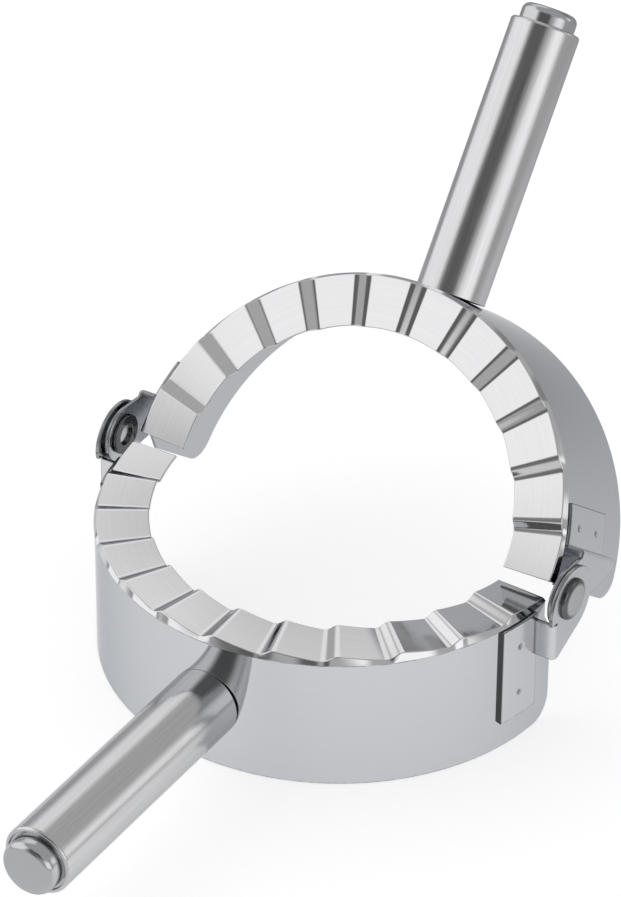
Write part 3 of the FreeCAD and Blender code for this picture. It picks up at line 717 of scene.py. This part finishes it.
# %% The room
ROOM = 0.5
WINDOWS = {
    "left light": (-70, 22, 38, 28, 0.65),
    "right light": (68, 8, 26, 18, 0.75),
    "camera corner": (8, 38, 32, 16, -0.36),
    "under the camera": (-8, 10, 12, 12, -0.3),
    "wall behind on the left": (-140, 38, 22, 16, 0.5),
    "strip behind on the right": (130, 8, 10, 10, 0.6),
    "dark behind": (168, 18, 22, 12, -0.2),
}
world = bpy.data.worlds.new("studio")
bpy.context.scene.world = world
world.use_nodes = True
tree = world.node_tree
tree.nodes.clear()
way = add_node(tree, "ShaderNodeTexCoord")
parts = add_node(tree, "ShaderNodeSeparateXYZ", Vector=way.outputs["Generated"])
forward = add_node(tree, "ShaderNodeMath", {"operation": "MULTIPLY"}, i0=parts.outputs["Y"], i1=-1.0)
turn = add_node(tree, "ShaderNodeMath", {"operation": "ARCTAN2"}, i0=parts.outputs["X"], i1=forward.outputs[0])
height = add_node(tree, "ShaderNodeMath", {"operation": "ARCSINE"}, i0=parts.outputs["Z"])
level = ROOM
for middle_turn, middle_height, wide, tall, light in WINDOWS.values():
    angles = np.radians([middle_turn, middle_height, wide, tall])
    pane = add_node(
        tree, "ShaderNodeGroup", {"node_tree": window}, Turn=turn.outputs[0], Height=height.outputs[0],
        Wide=angles[2], Tall=angles[3], Light=light, Before=level,
        **{"Middle Turn": angles[0], "Middle Height": angles[1]}
    )
    level = pane.outputs[0]
ray = add_node(tree, "ShaderNodeLightPath")
seen = add_node(tree, "ShaderNodeMix", Factor=ray.outputs["Is Camera Ray"], A=level, B=1.0)
sky = add_node(tree, "ShaderNodeBackground", Color=seen.outputs[0], Strength=1.0)
add_node(tree, "ShaderNodeOutputWorld", Surface=sky.outputs[0])

# %% [markdown]
# The table is white paper. The camera sees it white, with a soft shadow under the mold. The metal sees a painted
# glow on it, bright near the mold and grey further off. Along Y the glow is dimmed by painted shade ahead of the
# mold and behind it, and is lighter beyond.

# %% The table
# The glow that only the camera and reflections see: painted light, with painted shade in the ahead and behind zones.
PAPER_MIDDLE, PAPER_SPAN, PAPER_LEVELS, PAPER_SEEN = (-0.02, -0.1, 0), (0.12, 0.5), (0.64, 0.1), 0.68
ZONES = {
    "ahead": ((-0.14, -0.1), (0.6, 1.0)), "behind": ((-0.02, 0.06), (1.0, 0.8)), "beyond": ((0.1, 0.4), (1.0, 1.6)),
}
bpy.ops.mesh.primitive_plane_add(size=6, location=(0, 0, -0.0002))
table = bpy.context.object
table.name = "paper_table"
paper = bpy.data.materials.new("paper")
paper.use_nodes = True
tree = paper.node_tree
tree.nodes.clear()
where = add_node(tree, "ShaderNodeTexCoord")
far = add_node(
    tree, "ShaderNodeVectorMath", {"operation": "DISTANCE"}, i0=where.outputs["Object"], i1=PAPER_MIDDLE
)
fall = ramp(tree, far.outputs["Value"], PAPER_SPAN, PAPER_LEVELS)
across = add_node(tree, "ShaderNodeSeparateXYZ", Vector=where.outputs["Object"])
for span, levels in ZONES.values():
    zone = ramp(tree, across.outputs["Y"], span, levels)
    fall = add_node(tree, "ShaderNodeMath", {"operation": "MULTIPLY"}, i0=fall, i1=zone).outputs[0]
ray = add_node(tree, "ShaderNodeLightPath")
seen = add_node(tree, "ShaderNodeMix", Factor=ray.outputs["Is Camera Ray"], A=fall, B=PAPER_SEEN)
mirrored = add_node(
    tree, "ShaderNodeMath", {"operation": "MAXIMUM"}, i0=ray.outputs["Is Camera Ray"], i1=ray.outputs["Is Glossy Ray"]
)
glow = add_node(tree, "ShaderNodeMath", {"operation": "MULTIPLY"}, i0=seen.outputs[0], i1=mirrored.outputs[0])
shade = add_node(tree, "ShaderNodeBsdfDiffuse", Color=(0.6, 0.6, 0.6, 1))
light = add_node(tree, "ShaderNodeEmission", Color=(1, 1, 1, 1), Strength=glow.outputs[0])
both = add_node(tree, "ShaderNodeAddShader", i0=shade.outputs[0], i1=light.outputs[0])
add_node(tree, "ShaderNodeOutputMaterial", Surface=both.outputs[0])
table.data.materials.append(paper)

# %% [markdown]
# ## The camera
# The view was fitted to the outlines in the picture: a long lens about 1.2 m away, 32 degrees to the right of the
# front and 35 degrees above the table.

# %% Set the camera
FITTED_ANGLES = (31.854, 34.825, 0.434)
SIDE_SHIFT, UP_SHIFT, DISTANCE, AIM_Z = -0.00668, 0.030007, 1.23031, 0.02
FOCAL_PIXELS, PICTURE_ROWS, SENSOR = 4959.82, 897, 36
turn, height, roll = (math.radians(angle) for angle in FITTED_ANGLES)
back = np.array([math.sin(turn) * math.cos(height), -math.cos(turn) * math.cos(height), math.sin(height)])
right = np.array([math.cos(turn), math.sin(turn), 0])
up = np.cross(back, right)
right, up = right * math.cos(roll) + up * math.sin(roll), up * math.cos(roll) - right * math.sin(roll)
spot = np.array([0, hinge[1], AIM_Z]) + right * SIDE_SHIFT + up * UP_SHIFT + back * DISTANCE
lens = bpy.data.cameras.new("camera")
lens.sensor_fit, lens.sensor_height = "VERTICAL", SENSOR
lens.lens = FOCAL_PIXELS * SENSOR / PICTURE_ROWS
camera = bpy.data.objects.new("camera", lens)
stance = np.eye(4)
stance[:3, :3], stance[:3, 3] = np.stack([right, up, back], -1), spot
camera.matrix_world = Matrix(stance.tolist())
bpy.context.scene.collection.objects.link(camera)
bpy.context.scene.camera = camera
bpy.context.scene.view_settings.view_transform = "Standard"
